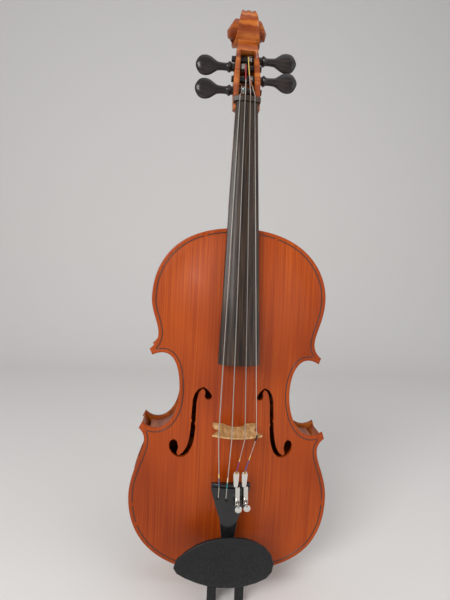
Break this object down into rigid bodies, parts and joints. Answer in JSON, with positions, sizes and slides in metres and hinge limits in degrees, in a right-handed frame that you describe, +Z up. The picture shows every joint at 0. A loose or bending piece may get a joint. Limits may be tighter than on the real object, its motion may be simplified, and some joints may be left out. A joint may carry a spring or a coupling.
{
  "type": "viola",
  "caption": "Viola with arched plates, f-holes, scroll, pegs, wound strings, bridge, tailpiece with fine tuners and a clamped chin rest.",
  "frame": {"origin": "point under the scroll's front where a hanger's fork holds the viola", "axes": "+Z up the neck along the length, the belly faces -Y, the treble side is +X"},
  "size_m": [0.2335, 0.1212, 0.6776],
  "materials": {
    "spruce": "varnished",
    "inner_spruce": "bare",
    "maple": "varnished",
    "neck_maple": "varnished",
    "block_wood": "bare",
    "bridge_maple": "oiled",
    "ebony": "polished",
    "peg_wood": "polished",
    "tailpiece_black": "gloss",
    "chinrest_black": "matt",
    "nickel": "plated",
    "string_metal": "wound",
    "tailgut": "matt"
  },
  "bodies": {
    "body": {"top_plate": "spruce", "back_plate": "maple", "bass_bar": "inner_spruce", "sound_post": "inner_spruce", "fingerboard": "ebony", "nut": "ebony", "neck": "neck_maple", "bridge": "bridge_maple", "tailpiece": "tailpiece_black", "tailpiece_fret": "tailpiece_black", "end_button": "peg_wood", "saddle": "ebony", "tailgut": "tailgut", "chinrest_cup": "chinrest_black", "clamp_foot": "chinrest_black", "neck_block": "block_wood", "end_block": "block_wood", "rib_upper_bass": "maple", "rib_waist_bass": "maple", "rib_lower_bass": "maple", "upper_corner_block_bass": "block_wood", "lower_corner_block_bass": "block_wood", "chinrest_support_bass": "chinrest_black", "rib_upper_treble": "maple", "rib_waist_treble": "maple", "rib_lower_treble": "maple", "upper_corner_block_treble": "block_wood", "lower_corner_block_treble": "block_wood", "chinrest_support_treble": "chinrest_black", "string_c": "string_metal", "string_g": "string_metal", "string_d": "string_metal", "string_a": "string_metal", "tuner_body_d": "nickel", "tuner_body_a": "nickel"},
    "peg_c": {"peg_c": "peg_wood"},
    "peg_g": {"peg_g": "peg_wood"},
    "peg_d": {"peg_d": "peg_wood"},
    "peg_a": {"peg_a": "peg_wood"},
    "screw_d": {"tuner_screw_d": "nickel"},
    "lever_d": {"tuner_lever_d": "nickel"},
    "screw_a": {"tuner_screw_a": "nickel"},
    "lever_a": {"tuner_lever_a": "nickel"},
    "barrel_bass": {"clamp_barrel_bass": "nickel"},
    "barrel_treble": {"clamp_barrel_treble": "nickel"}
  },
  "joints": [
    {"name": "peg_c_turn", "type": "hinge", "parent": "body", "child": "peg_c", "pos_m": [0, -0.015, -0.0575], "axis": [1, 0, 0], "continuous": true},
    {"name": "peg_a_turn", "type": "hinge", "parent": "body", "child": "peg_a", "pos_m": [0, -0.011, -0.0426], "axis": [1, 0, 0], "continuous": true},
    {"name": "peg_g_turn", "type": "hinge", "parent": "body", "child": "peg_g", "pos_m": [0, -0.0065, -0.0275], "axis": [1, 0, 0], "continuous": true},
    {"name": "peg_d_turn", "type": "hinge", "parent": "body", "child": "peg_d", "pos_m": [0, -0.003, -0.0165], "axis": [1, 0, 0], "continuous": true},
    {"name": "screw_d_turn", "type": "hinge", "parent": "body", "child": "screw_d", "pos_m": [0.005, -0.076, -0.517], "axis": [0, 1, 0], "range_deg": [-720, 720]},
    {"name": "lever_d_tilt", "type": "hinge", "parent": "body", "child": "lever_d", "pos_m": [0.0015, -0.0765, -0.493], "axis": [1, 0, 0], "range_deg": [-3.1, 3.1]},
    {"name": "screw_a_turn", "type": "hinge", "parent": "body", "child": "screw_a", "pos_m": [0.0145, -0.076, -0.517], "axis": [0, 1, 0], "range_deg": [-720, 720]},
    {"name": "lever_a_tilt", "type": "hinge", "parent": "body", "child": "lever_a", "pos_m": [0.0105, -0.0765, -0.493], "axis": [1, 0, 0], "range_deg": [-3.1, 3.1]},
    {"name": "barrel_bass_turn", "type": "hinge", "parent": "body", "child": "barrel_bass", "pos_m": [-0.0185, -0.036, -0.6285], "axis": [0, 1, 0], "continuous": true},
    {"name": "barrel_treble_turn", "type": "hinge", "parent": "body", "child": "barrel_treble", "pos_m": [0.0125, -0.036, -0.6285], "axis": [0, 1, 0], "continuous": true}
  ],
  "couplings": [
    {"joint": "lever_d_tilt", "follows": "screw_d_turn", "ratio": 0.004167},
    {"joint": "lever_a_tilt", "follows": "screw_a_turn", "ratio": 0.004167}
  ]
}
